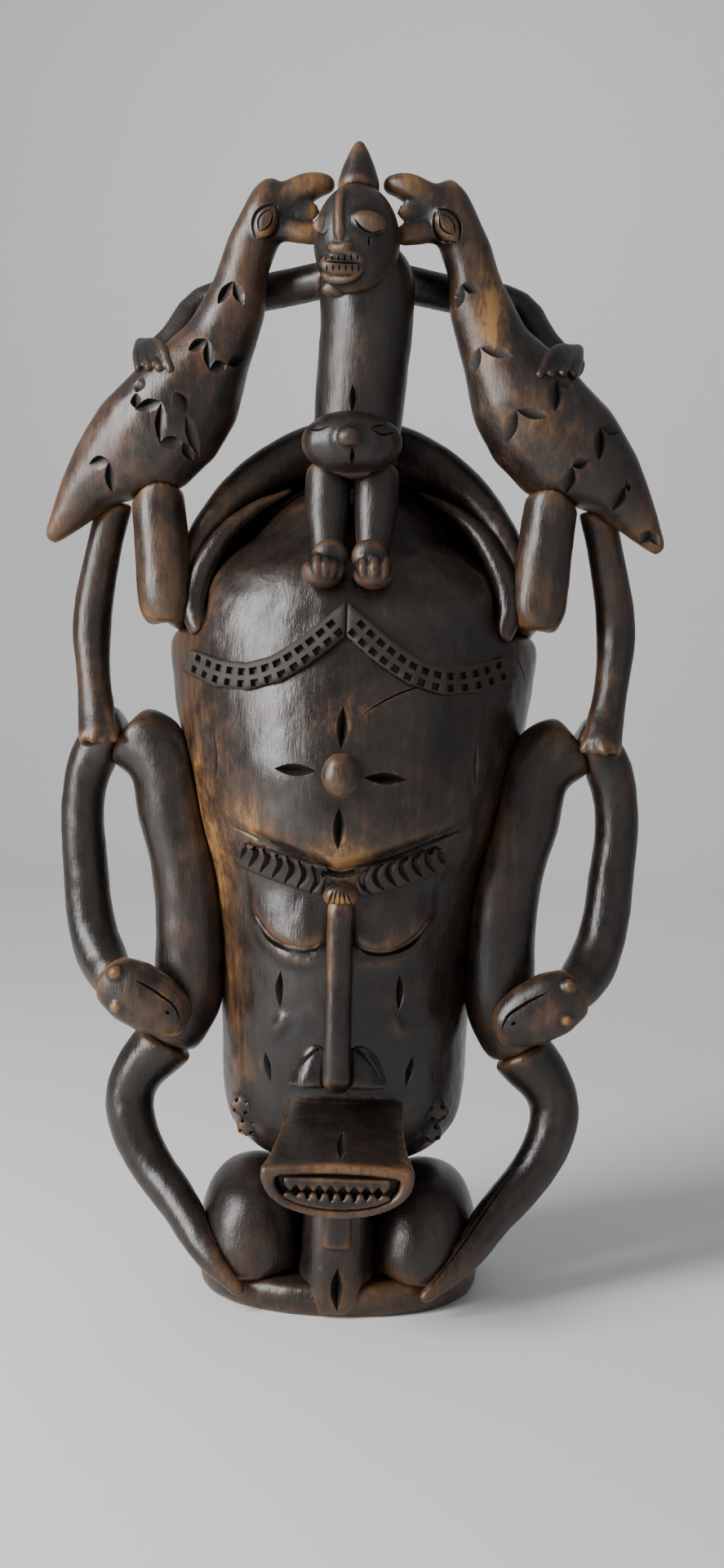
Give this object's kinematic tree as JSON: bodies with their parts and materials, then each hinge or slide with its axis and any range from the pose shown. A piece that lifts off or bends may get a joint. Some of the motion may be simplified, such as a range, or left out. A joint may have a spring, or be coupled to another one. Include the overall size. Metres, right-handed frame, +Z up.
{
  "type": "carved wooden mask",
  "caption": "Free-standing carved wooden mask, hollow behind, with a hood, a standing figure between birds, looped snakes at the sides and a toothed snout over a small base.",
  "frame": {"origin": "centre of the base's flat underside, where it stands", "axes": "+Z up, the face looks towards -Y, +X is the viewer's right when facing it, and the flat back is towards +Y"},
  "size_m": [0.2482, 0.1172, 0.4519],
  "materials": {
    "dark_wood": "dark stained carved hardwood, hand polished",
    "worn_wood": "carved hardwood with the dark stain rubbed through on high spots",
    "sooty_wood": "blackened carved hardwood, low sheen"
  },
  "bodies": {
    "root": {"plinth": "worn_wood", "neck_column": "worn_wood", "beard_tab": "worn_wood", "mask_shell": "dark_wood", "hood": "sooty_wood", "nose_ridge": "worn_wood", "brow_knot": "worn_wood", "forehead_boss": "worn_wood", "mouth_snout": "dark_wood", "upper_teeth": "worn_wood", "lower_teeth": "worn_wood", "figure_torso": "dark_wood", "belly": "worn_wood", "figure_head": "dark_wood", "crest": "worn_wood", "left_knee": "worn_wood", "right_knee": "worn_wood", "left_hood_roll": "dark_wood", "right_hood_roll": "dark_wood", "left_brow_band": "sooty_wood", "right_brow_band": "sooty_wood", "left_hairline_band": "sooty_wood", "right_hairline_band": "sooty_wood", "left_eyelid": "dark_wood", "right_eyelid": "dark_wood", "left_nostril": "dark_wood", "right_nostril": "dark_wood", "left_leg": "dark_wood", "right_leg": "dark_wood", "left_arm": "dark_wood", "right_arm": "dark_wood", "left_bird": "worn_wood", "right_bird": "worn_wood", "left_post": "dark_wood", "right_post": "dark_wood", "left_shank": "dark_wood", "right_shank": "dark_wood", "left_snake_coil": "dark_wood", "right_snake_coil": "dark_wood", "left_snake_neck": "dark_wood", "right_snake_neck": "dark_wood", "left_snake_head": "worn_wood", "right_snake_head": "worn_wood", "left_snake_tail": "dark_wood", "right_snake_tail": "dark_wood"}
  },
  "joints": []
}
